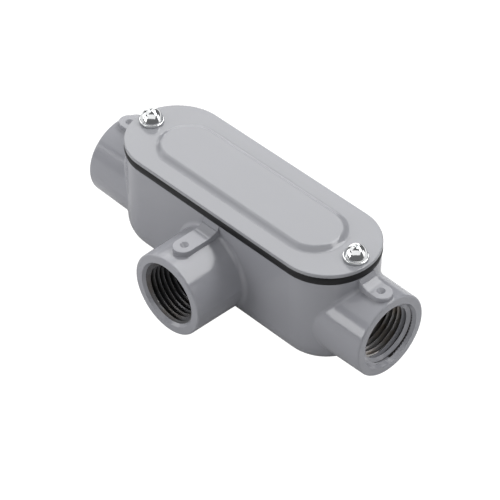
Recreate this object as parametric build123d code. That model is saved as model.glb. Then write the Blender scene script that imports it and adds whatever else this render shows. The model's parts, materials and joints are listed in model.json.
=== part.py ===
# Tee conduit body: a die-cast trough with three threaded hubs, closed by a
# pressed cover on a rubber gasket that two round-head screws hold down.
#
# Millimetres, +Z up. The origin is the centre of the flat underside. The run
# lies along X, and the branch hub points along -Y.

import os
from math import radians, tan

from build123d import *

# Body trough, measured at its rim
body_length = 101.0
body_width = 33.5
draft_angle = 0.5
bottom_radius = 9.0

# Wiring room inside the trough
wall = 2.6
floor_thickness = 2.6
floor_radius = 6.0
room_corner_radius = 7.0

# Threaded hubs
hub_rise = 2.8
hub_diameter = 28.4
hub_draft = 0.8
hub_edge_radius = 0.6
hub_root_radius = 1.5
end_hub_reach = 10.8
branch_hub_reach = 19.55
branch_hub_drop = 0.4
thread_diameter = 21.2
thread_length = 14.6
mouth_diameter = 22.8
mouth_depth = 1.0
throat_diameter = 15.8
throat_rounding = 1.4
bushing_length = 3.2
branch_core_diameter = 20.6

# Set-screw pad on the crown of each hub, with the slab behind it
pad_width = 6.6
pad_rise = 1.4
pad_edge_radius = 0.25
end_pad_length = 9.9
branch_pad_length = 15.45
slab_height = 2.5
slab_stand = 1.15
slab_top_stand = 0.05
lip_width = 0.35
ramp_length = 3.2
ramp_rise = 0.95
dimple_setback = 3.9
dimple_diameter = 2.8
dimple_depth = 1.2

# Screw lugs at the two ends of the mouth
screw_inset = 4.8
lug_radius = 4.3
lug_height = 8.5
pocket_depth = 5.0

# Gasket
gasket_thickness = 2.75
gasket_overhang = 0.25
gasket_bulge = 0.35
gasket_hole_clearance = 0.3

# Cover
cover_thickness = 1.35
cover_overhang = 0.2
cover_edge_radius = 0.25
cover_hole_clearance = 0.35
panel_end_margin = 11.3
panel_side_margin = 5.55
panel_rise = 1.2
panel_run = 2.8
panel_crest_share = 0.45
panel_step = 0.03

# Cover screws
shank_diameter = 4.16
shank_length = 9.5
shank_clearance = 0.06
tip_chamfer = 0.5
tip_room = 0.8
rim_diameter = 8.0
rim_height = 0.9
rim_chamfer = 0.15
rim_undercut = 0.25
dome_diameter = 7.4
head_height = 4.8
recess_width = 0.8
recess_length = 3.6
recess_root = 1.3
recess_depth = 1.8
left_screw_turn = 20.0
right_screw_turn = 70.0

# Places that follow from the sizes above
half_width = body_width / 2
half_length = body_length / 2
hub_radius = hub_diameter / 2
hub_axis_height = hub_rise + hub_radius
branch_axis_height = hub_axis_height - branch_hub_drop
pad_top = hub_axis_height + hub_radius + pad_rise
body_height = pad_top + slab_height
end_face = half_length + end_hub_reach
branch_face = half_width + branch_hub_reach
thread_end = end_face - thread_length
room_half_length = thread_end - bushing_length
room_half_width = half_width - wall
screw_place = half_length - screw_inset
gasket_top = body_height + gasket_thickness
cover_top = gasket_top + cover_thickness
hole_depth = shank_length - cover_thickness - gasket_thickness + tip_room
overlap = 1.0
quarter_turn = 90
half_turn = 180
full_turn = 360


def obround(section, straight):
    """Carry a half section, drawn on the YZ plane at +Y, round an obround of this straight length."""
    half = straight / 2
    left = Pos(-half, 0, 0) * revolve(section, Axis.Z, half_turn)
    right = Rot(0, 0, half_turn) * left
    back = Pos(-half, 0, 0) * extrude(section, straight, dir=(1, 0, 0))
    front = Rot(0, 0, half_turn) * back
    return left + right + back + front


def outline_section(points, corner, radius):
    """Half section through these (out, up) points, with one corner rounded."""
    sketch = Plane.YZ * make_face(Polyline(*points, close=True))
    place = Vector(0, *points[corner])
    nearest = sketch.vertices().sort_by_distance(place)[0]
    return fillet(nearest, radius)


def lug_plan():
    """Plan of the lug round each screw, carried out to the end wall."""
    outward = half_length - screw_place
    plan = Sketch()
    for side in (-1, 1):
        plan += Pos(side * screw_place, 0) * Circle(lug_radius)
        plan += Pos(side * (screw_place + outward / 2), 0) * Rectangle(outward, 2 * lug_radius)
    return plan


def mouth_plan(inset):
    """Opening in the rim: the rim's obround less this inset, with a lug kept round each screw."""
    return SlotOverall(body_length - 2 * inset, body_width - 2 * inset) - lug_plan()


def make_trough():
    """Outer form of the trough: drafted walls and a rounded bottom edge."""
    foot = half_width - body_height * tan(radians(draft_angle))
    points = [(0, 0), (foot, 0), (half_width, body_height), (0, body_height)]
    section = outline_section(points, 1, bottom_radius)
    return obround(section, body_length - body_width)


def make_barrel(length):
    """One hub's outside, standing on the XY plane along +Z, with its face edge rounded."""
    root = hub_radius + length * tan(radians(hub_draft))
    points = [(0, 0), (root, 0), (hub_radius, length), (0, length)]
    section = outline_section(points, 2, hub_edge_radius)
    return revolve(section, Axis.Z, full_turn)


def make_bore(length, core_start, core_diameter):
    """What a hub's passage takes away, from its mouth at Z = 0 down to Z = -length."""
    mouth = mouth_diameter / 2
    thread = thread_diameter / 2
    throat = throat_diameter / 2
    core = core_diameter / 2
    with BuildSketch(Plane.YZ) as section:
        with BuildLine():
            Line((0, overlap), (mouth, overlap))
            Line((mouth, overlap), (mouth, 0))
            Line((mouth, 0), (thread, -mouth_depth))
            Line((thread, -mouth_depth), (thread, -thread_length))
            Line((thread, -thread_length), (throat + throat_rounding, -thread_length))
            inner = (throat, -thread_length - throat_rounding)
            RadiusArc((throat + throat_rounding, -thread_length), inner, throat_rounding)
            Line(inner, (throat, core_start))
            Line((throat, core_start), (core, -length))
            Line((core, -length), (0, -length))
            Line((0, -length), (0, overlap))
        make_face()
    return revolve(section.sketch, Axis.Z, full_turn)


def is_crown_edge(edge, lip):
    """True for the edges round a pad's top, from the slab's lip out to the tip."""
    middle = edge @ 0.5
    level = pad_top - pad_edge_radius < middle.Z < pad_top + ramp_rise
    across = abs((edge @ 0).X - (edge @ 1).X) < pad_edge_radius and middle.X < lip + 2 * ramp_length
    return level and middle.X > lip and not across


def make_pad(wall_place, length):
    """Set-screw pad that points along +X, from the trough's wall at this place."""
    tip = wall_place + length
    start = wall_place - wall
    lip = wall_place + slab_stand
    ramp_end = lip + ramp_length
    lip_height = pad_top + ramp_rise
    round_place = tip - pad_width / 2
    plan = Pos((start + round_place) / 2, 0) * Rectangle(round_place - start, pad_width)
    plan += Pos(round_place, 0) * Circle(pad_width / 2)
    block = Pos(0, 0, hub_axis_height) * extrude(plan, body_height - hub_axis_height)
    with BuildSketch(Plane.XZ) as side:
        with BuildLine():
            Line((start, hub_axis_height), (tip + overlap, hub_axis_height))
            Line((tip + overlap, hub_axis_height), (tip + overlap, pad_top))
            Line((tip + overlap, pad_top), (ramp_end, pad_top))
            TangentArc((ramp_end, pad_top), (lip, lip_height), tangent=(-1, 0))
            Line((lip, lip_height), (lip, body_height))
            Line((lip, body_height), (start, body_height))
            Line((start, body_height), (start, hub_axis_height))
        make_face()
    profile = extrude(side.sketch, pad_width, both=True)
    pad = block & profile
    crown_edges = pad.edges().filter_by(lambda edge: is_crown_edge(edge, lip))
    pad = fillet(crown_edges, pad_edge_radius)
    corners = [
        (lip - lip_width, lip_height),
        (lip + overlap, lip_height),
        (lip + overlap, body_height),
        (wall_place + slab_top_stand, body_height),
    ]
    slope = Plane.XZ * make_face(Polyline(*corners, close=True))
    return pad - extrude(slope, pad_width, both=True)


def make_dimple(place):
    """Spot-drilled cone in a pad's top, at this distance along +X."""
    cone = Cone(0, dimple_diameter / 2, dimple_depth, align=(Align.CENTER, Align.CENTER, Align.MAX))
    return Pos(place, 0, pad_top) * cone


def make_room():
    """Wiring room: the deep space between the hubs, and the pockets beside the screw lugs."""
    plan = RectangleRounded(2 * room_half_length, 2 * room_half_width, room_corner_radius)
    height = body_height - floor_thickness
    deep = Pos(0, 0, floor_thickness) * extrude(plan, height)
    deep = fillet(deep.faces().sort_by(Axis.Z)[0].edges(), floor_radius)
    pockets = Pos(0, 0, body_height - pocket_depth) * extrude(mouth_plan(wall), pocket_depth)
    deep -= Pos(0, 0, body_height - lug_height) * extrude(lug_plan(), lug_height)
    return deep + pockets


def make_body():
    """The whole casting."""
    trough = make_trough()
    turned = {"left": half_turn, "right": 0, "branch": -quarter_turn}
    faces = {"left": end_face, "right": end_face, "branch": branch_face}
    starts = {"left": half_length - half_width, "right": half_length - half_width, "branch": 0}
    walls = {"left": half_length, "right": half_length, "branch": half_width}
    heights = {"left": hub_axis_height, "right": hub_axis_height, "branch": branch_axis_height}
    pads = {"left": end_pad_length, "right": end_pad_length, "branch": branch_pad_length}
    barrels = []
    for name, turn in turned.items():
        barrel = Rot(0, quarter_turn, 0) * make_barrel(faces[name] - starts[name])
        barrels.append(Rot(0, 0, turn) * Pos(starts[name], 0, heights[name]) * barrel)
    casting = trough + barrels
    roots = new_edges(trough, *barrels, combined=casting)
    casting = fillet(roots, hub_root_radius)
    for name, turn in turned.items():
        casting += Rot(0, 0, turn) * make_pad(walls[name], pads[name])
    casting -= make_room()
    bushing = thread_length + bushing_length
    end_bore = make_bore(bushing + overlap, -bushing, throat_diameter)
    room_side = branch_face - room_half_width
    branch_bore = make_bore(room_side + overlap, -bushing, branch_core_diameter)
    bores = {"left": end_bore, "right": end_bore, "branch": branch_bore}
    for name, turn in turned.items():
        bore = Pos(faces[name], 0, heights[name]) * Rot(0, quarter_turn, 0) * bores[name]
        casting -= Rot(0, 0, turn) * bore
        casting -= Rot(0, 0, turn) * make_dimple(walls[name] + pads[name] - dimple_setback)
    hole_radius = shank_diameter / 2 + shank_clearance
    for side in (-1, 1):
        hole = Cylinder(hole_radius, hole_depth, align=(Align.CENTER, Align.CENTER, Align.MAX))
        casting -= Pos(side * screw_place, 0, body_height) * hole
    return casting


def make_gasket():
    """Flat ring that follows the rim, with a bulged outer side and an eye for each screw."""
    side = half_width + gasket_overhang
    middle = body_height + gasket_thickness / 2
    with BuildSketch(Plane.YZ) as section:
        with BuildLine():
            Line((0, body_height), (side - gasket_bulge, body_height))
            ThreePointArc((side - gasket_bulge, body_height), (side, middle), (side - gasket_bulge, gasket_top))
            Line((side - gasket_bulge, gasket_top), (0, gasket_top))
            Line((0, gasket_top), (0, body_height))
        make_face()
    sheet = obround(section.sketch, body_length - body_width)
    sheet -= Pos(0, 0, body_height) * extrude(mouth_plan(wall), gasket_thickness)
    for side in (-1, 1):
        eye = Cylinder(shank_diameter / 2 + gasket_hole_clearance, 3 * gasket_thickness)
        sheet -= Pos(side * screw_place, 0, middle) * eye
    return sheet


def panel_section(foot, low, high, base):
    """Half section of the raised panel: a small step, then a foot arc and a crest arc in an S."""
    crest = foot - panel_run
    step = low + panel_step
    meet = (crest + panel_run * panel_crest_share, high - (high - step) * panel_crest_share)
    with BuildSketch(Plane.YZ) as section:
        with BuildLine():
            Line((0, high), (crest, high))
            TangentArc((crest, high), meet, tangent=(1, 0))
            TangentArc((foot, step), meet, tangent=(-1, 0))
            Line((foot, step), (foot, base))
            Line((foot, base), (0, base))
            Line((0, base), (0, high))
        make_face()
    return section.sketch


def make_cover():
    """Pressed cover with a raised obround panel, hollow underneath."""
    edge = half_width + cover_overhang
    with BuildSketch(Plane.YZ) as section:
        with BuildLine():
            Polyline((0, gasket_top), (edge, gasket_top), (edge, cover_top), (0, cover_top), close=True)
        make_face()
        corners = section.vertices().filter_by(lambda corner: corner.Y > edge / 2)
        fillet(corners, cover_edge_radius)
    plate = obround(section.sketch, body_length - body_width)
    foot = half_width - panel_side_margin
    straight = body_length - 2 * panel_end_margin - 2 * foot
    inner_foot = foot - cover_thickness / 2
    panel = panel_section(foot, cover_top, cover_top + panel_rise, cover_top - cover_thickness / 2)
    hollow = panel_section(inner_foot, gasket_top, gasket_top + panel_rise, gasket_top - overlap)
    cover = plate + obround(panel, straight)
    cover -= obround(hollow, straight)
    for side in (-1, 1):
        hole = Cylinder(shank_diameter / 2 + cover_hole_clearance, 4 * cover_thickness)
        cover -= Pos(side * screw_place, 0, cover_top) * hole
    return cover


def make_screw(place, turn):
    """Screw with a domed head on a flat rim and a cross recess, seated on the cover."""
    rim = rim_diameter / 2
    dome = dome_diameter / 2
    shank = shank_diameter / 2
    with BuildSketch(Plane.YZ) as section:
        with BuildLine():
            Line((0, -shank_length), (shank - tip_chamfer, -shank_length))
            Line((shank - tip_chamfer, -shank_length), (shank, -shank_length + tip_chamfer))
            Line((shank, -shank_length + tip_chamfer), (shank, 0))
            Line((shank, 0), (rim - rim_undercut, 0))
            Line((rim - rim_undercut, 0), (rim, rim_undercut))
            Line((rim, rim_undercut), (rim, rim_height - rim_chamfer))
            Line((rim, rim_height - rim_chamfer), (rim - rim_chamfer, rim_height))
            Line((rim - rim_chamfer, rim_height), (dome, rim_height))
            Line((dome, rim_height), (dome, head_height - dome))
            CenterArc((0, head_height - dome), dome, 0, quarter_turn)
            Line((0, head_height), (0, -shank_length))
        make_face()
    screw = revolve(section.sketch, Axis.Z, full_turn)
    floor = head_height - recess_depth
    corners = [
        (-recess_length / 2, head_height + overlap),
        (-recess_length / 2, head_height),
        (-recess_root / 2, floor),
        (recess_root / 2, floor),
        (recess_length / 2, head_height),
        (recess_length / 2, head_height + overlap),
    ]
    wing = extrude(Plane.XZ * make_face(Polyline(*corners, close=True)), recess_width / 2, both=True)
    screw -= wing
    screw -= Rot(0, 0, quarter_turn) * wing
    return Pos(place, 0, cover_top) * Rot(0, 0, turn) * screw


os.makedirs("parts", exist_ok=True)
nodes = {
    "body": make_body(),
    "gasket": make_gasket(),
    "cover": make_cover(),
    "cover_screw_left": make_screw(-screw_place, left_screw_turn),
    "cover_screw_right": make_screw(screw_place, right_screw_turn),
}
for name, solid in nodes.items():
    export_step(solid, f"parts/{name}.step")
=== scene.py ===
# Looks of the tee conduit body: satin grey paint over the casting and its cover,
# a black gasket, bright cover screws and bare cut threads in the three hubs.
#
# Metres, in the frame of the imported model: +Z up, the run along X and the
# branch hub along -Y.

import json
from math import cos, hypot, pi, radians, sin, sqrt, tan, tau

import bmesh
import bpy
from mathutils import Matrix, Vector


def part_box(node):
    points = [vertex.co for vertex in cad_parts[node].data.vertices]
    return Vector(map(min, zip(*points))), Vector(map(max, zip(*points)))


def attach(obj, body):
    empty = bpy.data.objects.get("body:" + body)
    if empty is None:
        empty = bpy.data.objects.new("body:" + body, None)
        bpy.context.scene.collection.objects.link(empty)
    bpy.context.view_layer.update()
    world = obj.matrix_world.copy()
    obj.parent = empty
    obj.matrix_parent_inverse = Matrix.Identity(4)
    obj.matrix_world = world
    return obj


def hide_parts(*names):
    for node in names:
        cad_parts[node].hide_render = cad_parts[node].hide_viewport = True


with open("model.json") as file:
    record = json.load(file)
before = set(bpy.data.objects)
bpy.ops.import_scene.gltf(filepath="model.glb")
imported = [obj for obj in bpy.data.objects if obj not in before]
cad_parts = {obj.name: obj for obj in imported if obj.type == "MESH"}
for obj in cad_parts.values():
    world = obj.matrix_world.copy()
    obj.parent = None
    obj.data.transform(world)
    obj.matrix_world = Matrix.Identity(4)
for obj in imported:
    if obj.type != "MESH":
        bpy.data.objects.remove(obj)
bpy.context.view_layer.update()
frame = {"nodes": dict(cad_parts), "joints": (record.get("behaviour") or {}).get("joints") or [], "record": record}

MM = 0.001
INCH = 25.4 * MM
mounts = {mount["name"]: mount for mount in frame["record"]["mounts"]}
joints = {joint["name"]: joint for joint in frame["joints"]}

# Camera, at the angle of the photograph
camera_place = Vector((0.438468, -0.424037, 0.553697))
camera_target = Vector((0.009220, -0.009191, 0.024516))
camera_lens = 184.436
sensor_width = 36.0

# Soft lights overhead, which face straight down: place over the floor, size and radiance
overhead_height = 0.62
overhead_lights = {
    "overhead_rear": ((-0.589, 0.527), (0.806, 0.558), 3.0),
    "overhead_front": ((-0.589, -0.155), (0.806, 0.806), 1.0),
    "right_top": ((0.217, 0.388), (0.806, 0.279), 5.8),
}

# Soft lights round the object, which face its middle: place, size and radiance
object_middle = (0, 0, 0.02)
side_lights = {
    "front_strip": ((-0.304, -0.754, 0.248), (0.36, 0.30), 4.9),
    "camera_side": ((0.42, -0.45, 0.80), (2.00, 0.85), 0.95),
    "low_left": ((-1.09, -0.63, 0.33), (0.70, 0.65), 2.5),
    "far_left": ((-1.03, 0.72, 0.30), (1.20, 0.60), 1.8),
    "far_right": ((0.89, 0.89, 0.33), (0.70, 0.65), 1.7),
}

# Floor and room. The glow is what the camera sees of the floor, mixed with its real shading.
floor_reach = 3
floor_glow = 1.25
floor_glow_share = 0.85
room_light = 0.16

# Bores that the mouths show, bare where they are machined and dark as painted shade: the axis
# along the bore, the axis across it, and where the bare metal starts and ends
bare_shaded_bores = {
    "hub_right": ("X", "Y", 42.5 * MM, 56.9 * MM),
    "hub_branch": ("Y", "X", 17.6 * MM, 35.2 * MM),
}
bare_shaded_bore_radius = 10.9 * MM

# Half-inch tapered pipe thread, cut in each hub. The start of the right one is painted.
hub_pitch = INCH / 14
hub_ridge_height = 1.25 * MM
hub_ridge_crest = 0.16 * MM
hub_ridge_root = 0.22 * MM
hub_taper = 1 / 32
hub_lead_in = 0.45
hub_run_out = 1.6 * MM
hub_steps = 120
sleeve_depth = 0.15 * MM
painted_depths = {"hub_left": 0.0, "hub_right": 3.4 * MM, "hub_branch": 0.0}

# Number 8 cover screws: the shank, then the head, then the cross recess
screw_pitch = INCH / 32
screw_ridge_height = 0.42 * MM
screw_ridge_crest = screw_pitch * 0.14
screw_ridge_root = screw_pitch * 0.2
screw_steps = 40
shank_radius = 2.08 * MM
shank_sink = 0.3 * MM
screw_neck = 0.8 * MM
screw_tip_inset = 0.1 * MM
screw_tip_slope = 0.9
head_height = 4.78 * MM
dome_radius = 3.7 * MM
cap_edge = 2.9 * MM
cap_radius = cap_edge / sin(radians(58))
flank_top_slope = tan(radians(58))
flank_foot_slope = tan(radians(68))
rim_radius = 4.0 * MM
rim_height = 0.9 * MM
rim_rounding = 0.15 * MM
rim_undercut = 0.25 * MM
recess_depth = 0.9 * MM
recess_half_width = 0.3 * MM
recess_half_length = 1.25 * MM
recess_half_root = 0.45 * MM
recess_draft = 0.06 * MM
recess_rim = 0.05 * MM
square_centre = 2.15 * MM
screw_turns = {"left": radians(20), "right": radians(70)}


# Shared effects


def new_group(name, inputs, outputs):
    """Shader node group with these float inputs and their values, and these named outputs."""
    group = bpy.data.node_groups.new(name, "ShaderNodeTree")
    for socket_name, value in inputs.items():
        socket = group.interface.new_socket(socket_name, in_out="INPUT", socket_type="NodeSocketFloat")
        socket.default_value = value
    for socket_name in outputs:
        group.interface.new_socket(socket_name, in_out="OUTPUT", socket_type="NodeSocketFloat")
    source = group.nodes.new("NodeGroupInput")
    result = group.nodes.new("NodeGroupOutput")
    return group, source, result


def add_math(tree, operation, first, second):
    """Math node fed by sockets or plain numbers."""
    node = tree.nodes.new("ShaderNodeMath")
    node.operation = operation
    for socket, value in zip(node.inputs, (first, second)):
        if isinstance(value, (int, float)):
            socket.default_value = value
        else:
            tree.links.new(value, socket)
    return node.outputs[0]


def add_noise(tree, scale, detail, roughness):
    """Noise on Object coordinates. The scale is a socket or a number of cells to the metre."""
    place = tree.nodes.new("ShaderNodeTexCoord")
    noise = tree.nodes.new("ShaderNodeTexNoise")
    tree.links.new(place.outputs["Object"], noise.inputs["Vector"])
    if isinstance(scale, (int, float)):
        noise.inputs["Scale"].default_value = scale
    else:
        tree.links.new(scale, noise.inputs["Scale"])
    noise.inputs["Detail"].default_value = detail
    noise.inputs["Roughness"].default_value = roughness
    return noise.outputs["Fac"]


def make_grain_group():
    """Two sizes of grain: fine bumps, and slow drifts of tone over a few millimetres."""
    inputs = {"Bump cells": 900.0, "Tone cells": 90.0}
    group, source, result = new_group("surface_grain", inputs, ("Bump", "Tone"))
    bump = add_noise(group, source.outputs["Bump cells"], detail=2.0, roughness=0.5)
    tone = add_noise(group, source.outputs["Tone cells"], detail=4.0, roughness=0.55)
    group.links.new(bump, result.inputs["Bump"])
    group.links.new(tone, result.inputs["Tone"])
    return group


def make_scuff_group():
    """Fine hairlines that cross each other, as handling leaves on plated or cut metal."""
    group, source, result = new_group("fine_scuffs", {"Hairline cells": 2500.0}, ("Scuffs",))
    place = group.nodes.new("ShaderNodeTexCoord")
    layers = []
    for turn in (0.5, 1.9):
        mapping = group.nodes.new("ShaderNodeMapping")
        mapping.inputs["Rotation"].default_value = (turn, 0.4, turn)
        mapping.inputs["Scale"].default_value = (1.0, 0.06, 1.0)
        noise = group.nodes.new("ShaderNodeTexNoise")
        noise.inputs["Detail"].default_value = 3.0
        group.links.new(place.outputs["Object"], mapping.inputs["Vector"])
        group.links.new(mapping.outputs["Vector"], noise.inputs["Vector"])
        group.links.new(source.outputs["Hairline cells"], noise.inputs["Scale"])
        layers.append(noise.outputs["Fac"])
    group.links.new(add_math(group, "MULTIPLY", *layers), result.inputs["Scuffs"])
    return group


grain_group = make_grain_group()
scuff_group = make_scuff_group()


# Materials


def new_material(name, metallic=0.0):
    """Material with its own Principled shader."""
    material = bpy.data.materials.new(name)
    material.use_nodes = True
    shader = material.node_tree.nodes["Principled BSDF"]
    shader.inputs["Metallic"].default_value = metallic
    return material, material.node_tree, shader


def add_group(tree, group, **values):
    """Place a shared effect with its own values. Underscores in the names stand for spaces."""
    node = tree.nodes.new("ShaderNodeGroup")
    node.node_tree = group
    for name, value in values.items():
        node.inputs[name.replace("_", " ")].default_value = value
    return node.outputs


def add_ramp(tree, value, dark, light, low=0.0, high=1.0):
    """Colour that runs from dark to light as the value goes from low to high."""
    ramp = tree.nodes.new("ShaderNodeValToRGB")
    ramp.color_ramp.elements[0].position = low
    ramp.color_ramp.elements[1].position = high
    ramp.color_ramp.elements[0].color = (*dark, 1)
    ramp.color_ramp.elements[1].color = (*light, 1)
    tree.links.new(value, ramp.inputs["Fac"])
    return ramp.outputs["Color"]


def add_range(tree, value, low, high):
    """The value, which runs from about 0.3 to 0.7, mapped to this range."""
    node = tree.nodes.new("ShaderNodeMapRange")
    node.inputs["From Min"].default_value = 0.3
    node.inputs["From Max"].default_value = 0.7
    node.inputs["To Min"].default_value = low
    node.inputs["To Max"].default_value = high
    tree.links.new(value, node.inputs["Value"])
    return node.outputs["Result"]


def add_bump(tree, shader, height, distance):
    """Bump of this height in metres on the shader's normal."""
    bump = tree.nodes.new("ShaderNodeBump")
    bump.inputs["Distance"].default_value = distance
    bump.inputs["Strength"].default_value = 1.0
    tree.links.new(height, bump.inputs["Height"])
    tree.links.new(bump.outputs["Normal"], shader.inputs["Normal"])


def make_paint(name, peel_height, dark, light):
    """Satin grey paint with an orange-peel skin and a slight drift of tone."""
    material, tree, shader = new_material(name)
    grain = add_group(tree, grain_group, Bump_cells=1100.0, Tone_cells=40.0)
    colour = add_ramp(tree, grain["Tone"], dark, light)
    tree.links.new(colour, shader.inputs["Base Color"])
    tree.links.new(add_range(tree, grain["Tone"], low=0.13, high=0.16), shader.inputs["Roughness"])
    add_bump(tree, shader, grain["Bump"], peel_height)
    return material, tree, shader


def add_square(tree, value):
    """The square of a value of either sign."""
    return add_math(tree, "POWER", add_math(tree, "ABSOLUTE", value, 0.0), 2.0)


def add_bore_mask(tree, place, hub, along, across, start, end):
    """1 inside this hub's bore, between these distances from the origin, and 0 elsewhere."""
    level = add_math(tree, "SUBTRACT", place["Z"], mounts[hub]["pos_m"][2])
    reach = add_math(tree, "ADD", add_square(tree, place[across]), add_square(tree, level))
    inside = add_math(tree, "LESS_THAN", reach, bare_shaded_bore_radius**2)
    distance = add_math(tree, "ABSOLUTE", place[along], 0.0)
    past = add_math(tree, "GREATER_THAN", distance, start)
    short = add_math(tree, "LESS_THAN", distance, end)
    return add_math(tree, "MULTIPLY", inside, add_math(tree, "MULTIPLY", past, short))


def make_body_paint():
    """Paint of the casting, with bare metal where the hubs are machined, dark as painted shade."""
    dark, light = (0.253, 0.256, 0.278), (0.270, 0.273, 0.296)
    material, tree, shader = make_paint("body_paint", 0.005 * MM, dark, light)
    place = tree.nodes.new("ShaderNodeTexCoord")
    split = tree.nodes.new("ShaderNodeSeparateXYZ")
    tree.links.new(place.outputs["Object"], split.inputs["Vector"])
    bare_shade_masks = [add_bore_mask(tree, split.outputs, hub, *bore) for hub, bore in bare_shaded_bores.items()]
    bare_shade_mask = add_math(tree, "MAXIMUM", *bare_shade_masks)
    mix = tree.nodes.new("ShaderNodeMix")
    mix.data_type = "RGBA"
    paint_link = shader.inputs["Base Color"].links[0]
    tree.links.new(bare_shade_mask, mix.inputs["Factor"])
    tree.links.new(paint_link.from_socket, mix.inputs["A"])
    # The bare metal's dark grey is painted shade inside the bores, darker than cut aluminium.
    mix.inputs["B"].default_value = (0.34, 0.33, 0.32, 1)
    tree.links.new(mix.outputs["Result"], shader.inputs["Base Color"])
    tree.links.new(bare_shade_mask, shader.inputs["Metallic"])
    return material


def make_cover_paint():
    """The same paint on the pressed cover, where it lies smoother."""
    dark, light = (0.253, 0.257, 0.274), (0.270, 0.274, 0.292)
    return make_paint("cover_paint", 0.003 * MM, dark, light)[0]


def make_rubber():
    """Matt black gasket rubber with a trace of dust."""
    material, tree, shader = new_material("gasket_rubber")
    grain = add_group(tree, grain_group, Bump_cells=2400.0, Tone_cells=260.0)
    colour = add_ramp(tree, grain["Tone"], (0.004, 0.004, 0.005), (0.010, 0.010, 0.011))
    tree.links.new(colour, shader.inputs["Base Color"])
    shader.inputs["Specular IOR Level"].default_value = 0.25
    tree.links.new(add_range(tree, grain["Tone"], low=0.45, high=0.6), shader.inputs["Roughness"])
    add_bump(tree, shader, grain["Bump"], 0.02 * MM)
    return material


def make_plating():
    """Bright zinc plate of the screws, with faint hairlines."""
    material, tree, shader = new_material("screw_plate", metallic=1.0)
    grain = add_group(tree, grain_group, Bump_cells=1500.0, Tone_cells=500.0)
    scuffs = add_group(tree, scuff_group, Hairline_cells=2500.0)
    colour = add_ramp(tree, grain["Tone"], (0.72, 0.73, 0.73), (0.80, 0.81, 0.81))
    tree.links.new(colour, shader.inputs["Base Color"])
    tree.links.new(add_range(tree, scuffs["Scuffs"], low=0.10, high=0.04), shader.inputs["Roughness"])
    add_bump(tree, shader, grain["Bump"], 0.004 * MM)
    return material


def make_cut_metal(name, stained, clean):
    """Bare die-cast metal as the tap leaves it, with brownish stains from the cutting oil."""
    material, tree, shader = new_material(name, metallic=1.0)
    grain = add_group(tree, grain_group, Bump_cells=2200.0, Tone_cells=160.0)
    scuffs = add_group(tree, scuff_group, Hairline_cells=3500.0)
    colour = add_ramp(tree, grain["Tone"], stained, clean, low=0.35, high=0.55)
    tree.links.new(colour, shader.inputs["Base Color"])
    tree.links.new(add_range(tree, scuffs["Scuffs"], low=0.42, high=0.22), shader.inputs["Roughness"])
    add_bump(tree, shader, grain["Bump"], 0.02 * MM)
    return material


# Mesh pieces


def new_piece(name, mesh, materials, body):
    """Finish a bmesh as an object that rides on this body."""
    bmesh.ops.recalc_face_normals(mesh, faces=mesh.faces)
    data = bpy.data.meshes.new(name)
    mesh.to_mesh(data)
    mesh.free()
    data.polygons.foreach_set("use_smooth", [True] * len(data.polygons))
    data.set_sharp_from_angle(angle=radians(40))
    for material in materials:
        data.materials.append(material)
    piece = bpy.data.objects.new(name, data)
    bpy.context.scene.collection.objects.link(piece)
    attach(piece, body)
    return piece


def move_out(vertex, radius):
    """Put a vertex at this distance from the Z axis."""
    scale = radius / hypot(vertex.co.x, vertex.co.y)
    vertex.co.x *= scale
    vertex.co.y *= scale


def grow_edges(mesh, edges):
    """Extrude an open edge loop in place, and give the new vertices and the new open edges."""
    grown = bmesh.ops.extrude_edge_only(mesh, edges=edges)["geom"]
    vertices = [item for item in grown if isinstance(item, bmesh.types.BMVert)]
    open_edges = [item for item in grown if isinstance(item, bmesh.types.BMEdge) and item.is_boundary]
    return vertices, open_edges


def ridge_chain(pitch, root_radius, crest_radius, root_width, crest_width):
    """One pitch of a thread form: half a root, a flank, the crest, a flank and half a root."""
    middle = pitch / 2
    return [
        (root_radius, 0),
        (root_radius, root_width / 2),
        (crest_radius, middle - crest_width / 2),
        (crest_radius, middle + crest_width / 2),
        (root_radius, pitch - root_width / 2),
        (root_radius, pitch),
    ]


def wind_thread(chain, pitch, length, top, steps):
    """Wind a chain of (out, up) points, one pitch tall, into a helix round the Z axis.

    It is trimmed square at this length below the origin and at the top. The edges of
    the lower and the upper cut come with the mesh.
    """
    mesh = bmesh.new()
    vertices = [mesh.verts.new((out, 0, up)) for out, up in chain]
    edges = [mesh.edges.new(pair) for pair in zip(vertices, vertices[1:])]
    turns = int(length / pitch) + 3
    bmesh.ops.spin(
        mesh,
        geom=vertices + edges,
        cent=(0, 0, 0),
        axis=(0, 0, 1),
        dvec=Vector((0, 0, pitch / steps)),
        angle=tau * turns,
        steps=steps * turns,
    )
    bmesh.ops.remove_doubles(mesh, verts=mesh.verts, dist=1e-7)
    bmesh.ops.translate(mesh, verts=mesh.verts, vec=(0, 0, -length - pitch))
    for height, side in ((-length, -1), (top, 1)):
        everything = mesh.verts[:] + mesh.edges[:] + mesh.faces[:]
        plane = {"plane_co": (0, 0, height), "plane_no": (0, 0, side)}
        bmesh.ops.bisect_plane(mesh, geom=everything, dist=1e-8, clear_outer=True, **plane)
    open_edges = [edge for edge in mesh.edges if edge.is_boundary]
    middle = (top - length) / 2
    lower = [edge for edge in open_edges if edge.verts[0].co.z < middle]
    upper = [edge for edge in open_edges if edge.verts[0].co.z > middle]
    return mesh, lower, upper


def thread_finish(face, crest, painted_depth):
    """Number of a thread face's material: 0 on a crest, 1 on a flank, 2 in the paint, 3 in a root."""
    heights = [hypot(vertex.co.x, vertex.co.y) - crest - vertex.co.z * hub_taper for vertex in face.verts]
    if min(heights) > hub_ridge_height * 0.9:
        return 3
    if face.calc_center_median().z > -painted_depth:
        return 2
    if max(abs(height) for height in heights) > hub_ridge_height / 20:
        return 1
    return 0


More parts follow.
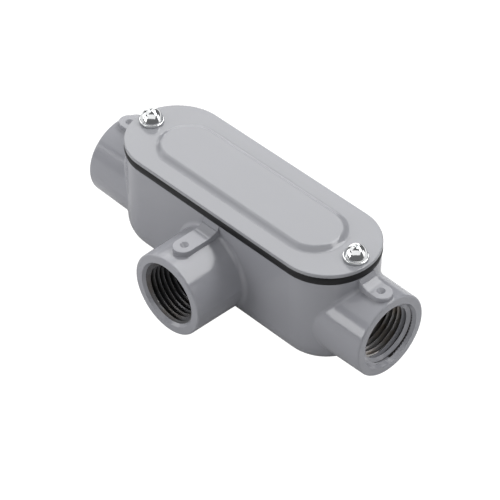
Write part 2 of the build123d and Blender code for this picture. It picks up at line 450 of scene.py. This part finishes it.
def make_hub_thread(hub, materials):
    """Tapered pipe thread in one hub, as a thin sleeve whose outer side lies in the casting.

    The materials are those of the crests, the flanks, the painted start and the roots.
    """
    mount = mounts[hub]
    bore = mount["dims"]["r_mm"] * MM
    length = mount["dims"]["length_mm"] * MM
    crest = bore - hub_ridge_height
    chain = ridge_chain(hub_pitch, bore, crest, hub_ridge_root, hub_ridge_crest)
    mesh, lower, upper = wind_thread(chain, hub_pitch, length, 0, hub_steps)
    for vertex in mesh.verts:
        depth = -vertex.co.z
        radius = hypot(vertex.co.x, vertex.co.y) - depth * hub_taper
        lead_in = bore - depth / hub_lead_in
        run_out = bore - length * hub_taper - (length - depth) * hub_ridge_height / hub_run_out
        move_out(vertex, min(bore, max(radius, lead_in, run_out)))
    outer_edges = []
    for edges in (lower, upper):
        vertices, open_edges = grow_edges(mesh, edges)
        for vertex in vertices:
            move_out(vertex, bore + sleeve_depth)
        outer_edges += open_edges
    bmesh.ops.bridge_loops(mesh, edges=outer_edges)
    for face in mesh.faces:
        face.material_index = thread_finish(face, crest, painted_depths[hub])
    axis = Vector(mount["axis"])
    turn = Vector((0, 0, 1)).rotation_difference(axis).to_matrix()
    bmesh.ops.rotate(mesh, verts=mesh.verts, cent=(0, 0, 0), matrix=turn)
    bmesh.ops.translate(mesh, verts=mesh.verts, vec=Vector(mount["pos_m"]) + axis * length / 2)
    new_piece(hub + "_thread", mesh, materials, "casting")


def dome_height(radius):
    """Height of the screw head's dome at this distance from its axis: a round cap on a steep flank."""
    past = max(0, radius - cap_edge)
    steepening = (flank_foot_slope - flank_top_slope) / (dome_radius - cap_edge)
    drop = past * (flank_top_slope + steepening * past / 2)
    cap = sqrt(cap_radius**2 - min(radius, cap_edge) ** 2)
    return head_height - cap_radius + cap - drop


def wing_height(along, across, dome):
    """Height of the head's top in one wing of the cross recess."""
    floor = head_height - recess_depth
    slope = recess_depth / (recess_half_length - recess_half_root)
    bottom = floor + max(0, abs(along) - recess_half_root) * slope
    if abs(across) < recess_half_width - recess_draft / 2:
        return min(dome, bottom)
    if abs(across) < recess_half_width + recess_draft / 2:
        return min(dome, max(bottom, dome - recess_rim))
    return dome


def grid_lines():
    """Places of the head's grid lines, close together at the recess walls and at the dome's foot."""
    half = [recess_half_width * share for share in (0.4, 0.7)]
    half += [recess_half_width - recess_draft / 2, recess_half_width + recess_draft / 2]
    wing = recess_half_length - recess_half_root
    half += [recess_half_root + wing * step / 4 for step in range(5)]
    half += [place * MM for place in (1.5, 1.8, 2.1)]
    half += [dome_radius * sin(radians(slope)) for slope in range(38, 91, 4)]
    return [-place for place in reversed(half)] + [0.0] + half


def make_dome(mesh):
    """Dome whose square centre holds the cross recess, and whose foot is a true circle."""
    lines = grid_lines()
    last = len(lines) - 1
    made = bmesh.ops.create_grid(mesh, x_segments=last, y_segments=last, size=1)
    for vertex in made["verts"]:
        x = lines[round((vertex.co.x + 1) / 2 * last)]
        y = lines[round((vertex.co.y + 1) / 2 * last)]
        reach = max(abs(x), abs(y))
        blend = max(0, (reach - square_centre) / (dome_radius - square_centre))
        pull = 1 - blend + blend * reach / max(hypot(x, y), 1e-9)
        x, y = x * pull, y * pull
        dome = dome_height(hypot(x, y))
        vertex.co = (x, y, min(wing_height(x, y, dome), wing_height(y, x, dome)))


def make_rim(mesh):
    """Flat rim under the dome, closed underneath."""
    rings = [
        (dome_radius, rim_height + rim_rounding / 2),
        (dome_radius + rim_rounding / 2, rim_height),
        (rim_radius - rim_rounding, rim_height),
        (rim_radius - rim_rounding * 0.3, rim_height - rim_rounding * 0.3),
        (rim_radius, rim_height - rim_rounding),
        (rim_radius, rim_undercut),
        (rim_radius - rim_undercut, 0),
        (rim_radius / 2, 0),
    ]
    edges = [edge for edge in mesh.edges if edge.is_boundary]
    for radius, height in rings:
        vertices, edges = grow_edges(mesh, edges)
        for vertex in vertices:
            move_out(vertex, radius)
            vertex.co.z = height
    bmesh.ops.contextual_create(mesh, geom=edges)


def make_shank(head, length):
    """Threaded shank with a pointed tip, added to the head's mesh."""
    root = shank_radius - screw_ridge_height
    chain = ridge_chain(screw_pitch, root, shank_radius, screw_ridge_root, screw_ridge_crest)
    mesh, lower, upper = wind_thread(chain, screw_pitch, length, shank_sink, screw_steps)
    for vertex in mesh.verts:
        depth = -vertex.co.z
        tip = root - screw_tip_inset + (length - depth) * screw_tip_slope
        neck = root + max(0, depth - screw_neck)
        move_out(vertex, min(hypot(vertex.co.x, vertex.co.y), tip, neck))
    for edges in (lower, upper):
        bmesh.ops.contextual_create(mesh, geom=edges)
    shank = bpy.data.meshes.new("shank")
    mesh.to_mesh(shank)
    mesh.free()
    head.from_mesh(shank)
    bpy.data.meshes.remove(shank)


def make_screw(side, turn, material):
    """Cover screw on its joint's axis, turned this far, in place of the plain one in the frame."""
    body = side + "_screw"
    node = frame["record"]["behaviour"]["bodies"][body][0]
    place = Vector(joints[side + "_screw_turn"]["pos_m"])
    mesh = bmesh.new()
    make_dome(mesh)
    make_rim(mesh)
    make_shank(mesh, place.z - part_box(node)[0].z)
    turned = Vector((cos(turn), sin(turn), 0))
    spin = Vector((1, 0, 0)).rotation_difference(turned).to_matrix()
    bmesh.ops.rotate(mesh, verts=mesh.verts, cent=(0, 0, 0), matrix=spin)
    bmesh.ops.translate(mesh, verts=mesh.verts, vec=place)
    piece = new_piece(side + "_cover_screw", mesh, (material,), body)
    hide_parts(node)


# Stage


def add_softbox(name, place, aim, size, radiance):
    """Rectangular soft light at a place, aimed at a point, with this radiance."""
    light = bpy.data.lights.new(name, "AREA")
    light.shape = "RECTANGLE"
    light.size, light.size_y = size
    light.energy = radiance * pi * size[0] * size[1]
    lamp = bpy.data.objects.new(name, light)
    bpy.context.scene.collection.objects.link(lamp)
    lamp.location = place
    lamp.rotation_euler = (Vector(aim) - Vector(place)).to_track_quat("-Z", "Y").to_euler()


def make_floor():
    """Plain white floor. The camera sees it evenly lit, with only a trace of the shadows on it."""
    mesh = bmesh.new()
    bmesh.ops.create_grid(mesh, x_segments=1, y_segments=1, size=floor_reach)
    data = bpy.data.meshes.new("floor")
    mesh.to_mesh(data)
    mesh.free()
    material, tree, shader = new_material("floor_white")
    noise = add_noise(tree, scale=3.0, detail=2.0, roughness=0.5)
    tone = add_ramp(tree, noise, (0.64, 0.64, 0.64), (0.66, 0.66, 0.66))
    tree.links.new(tone, shader.inputs["Base Color"])
    shader.inputs["Roughness"].default_value = 0.9
    shader.inputs["Specular IOR Level"].default_value = 0.0
    glow = tree.nodes.new("ShaderNodeEmission")
    glow.inputs["Strength"].default_value = floor_glow
    rays = tree.nodes.new("ShaderNodeLightPath")
    seen = add_math(tree, "MULTIPLY", rays.outputs["Is Camera Ray"], floor_glow_share)
    mix = tree.nodes.new("ShaderNodeMixShader")
    tree.links.new(seen, mix.inputs["Fac"])
    tree.links.new(shader.outputs["BSDF"], mix.inputs[1])
    tree.links.new(glow.outputs["Emission"], mix.inputs[2])
    tree.links.new(mix.outputs["Shader"], tree.nodes["Material Output"].inputs["Surface"])
    data.materials.append(material)
    floor = bpy.data.objects.new("floor", data)
    bpy.context.scene.collection.objects.link(floor)


def make_world():
    """Even dim light from all round the room, which the camera sees as white."""
    world = bpy.data.worlds.new("studio")
    world.use_nodes = True
    tree = world.node_tree
    background = tree.nodes["Background"]
    background.inputs["Color"].default_value = (0.97, 0.98, 1.0, 1)
    rays = tree.nodes.new("ShaderNodeLightPath")
    strength = add_math(tree, "MAXIMUM", rays.outputs["Is Camera Ray"], room_light)
    tree.links.new(strength, background.inputs["Strength"])
    bpy.context.scene.world = world


def make_camera():
    """Camera at the photograph's place."""
    data = bpy.data.cameras.new("camera")
    data.lens = camera_lens
    data.sensor_width = sensor_width
    data.clip_start = 0.05
    data.clip_end = 20
    camera = bpy.data.objects.new("camera", data)
    bpy.context.scene.collection.objects.link(camera)
    camera.location = camera_place
    camera.rotation_euler = (camera_target - camera_place).to_track_quat("-Z", "Y").to_euler()
    bpy.context.scene.camera = camera


make_camera()
make_world()
make_floor()
for name, ((x, y), size, radiance) in overhead_lights.items():
    add_softbox(name, (x, y, overhead_height), (x, y, 0), size, radiance)
for name, (place, size, radiance) in side_lights.items():
    add_softbox(name, place, object_middle, size, radiance)
bpy.context.scene.view_settings.view_transform = "Standard"

# The painted and rubber pieces of the frame, then what is added to them
finishes = {
    "body": make_body_paint(),
    "cover": make_cover_paint(),
    "gasket": make_rubber(),
}
for node, material in finishes.items():
    frame["nodes"][node].data.materials.clear()
    frame["nodes"][node].data.materials.append(material)
crest_metal = make_cut_metal("cut_crest", (0.70, 0.68, 0.66), (0.82, 0.82, 0.82))
# A near-black copy of the cut metal, as painted shade: on the flanks of the left and branch hubs and in every
# root.
painted_shade_metal = make_cut_metal("cut_metal_painted_shade", (0.09, 0.084, 0.08), (0.105, 0.105, 0.11))
light_metal = make_cut_metal("cut_flank_light", (0.36, 0.31, 0.26), (0.44, 0.43, 0.43))
for hub, flank_metal in (("hub_left", painted_shade_metal), ("hub_right", light_metal), ("hub_branch", painted_shade_metal)):
    make_hub_thread(hub, (crest_metal, flank_metal, finishes["body"], painted_shade_metal))
plating = make_plating()
for side, turn in screw_turns.items():
    make_screw(side, turn, plating)
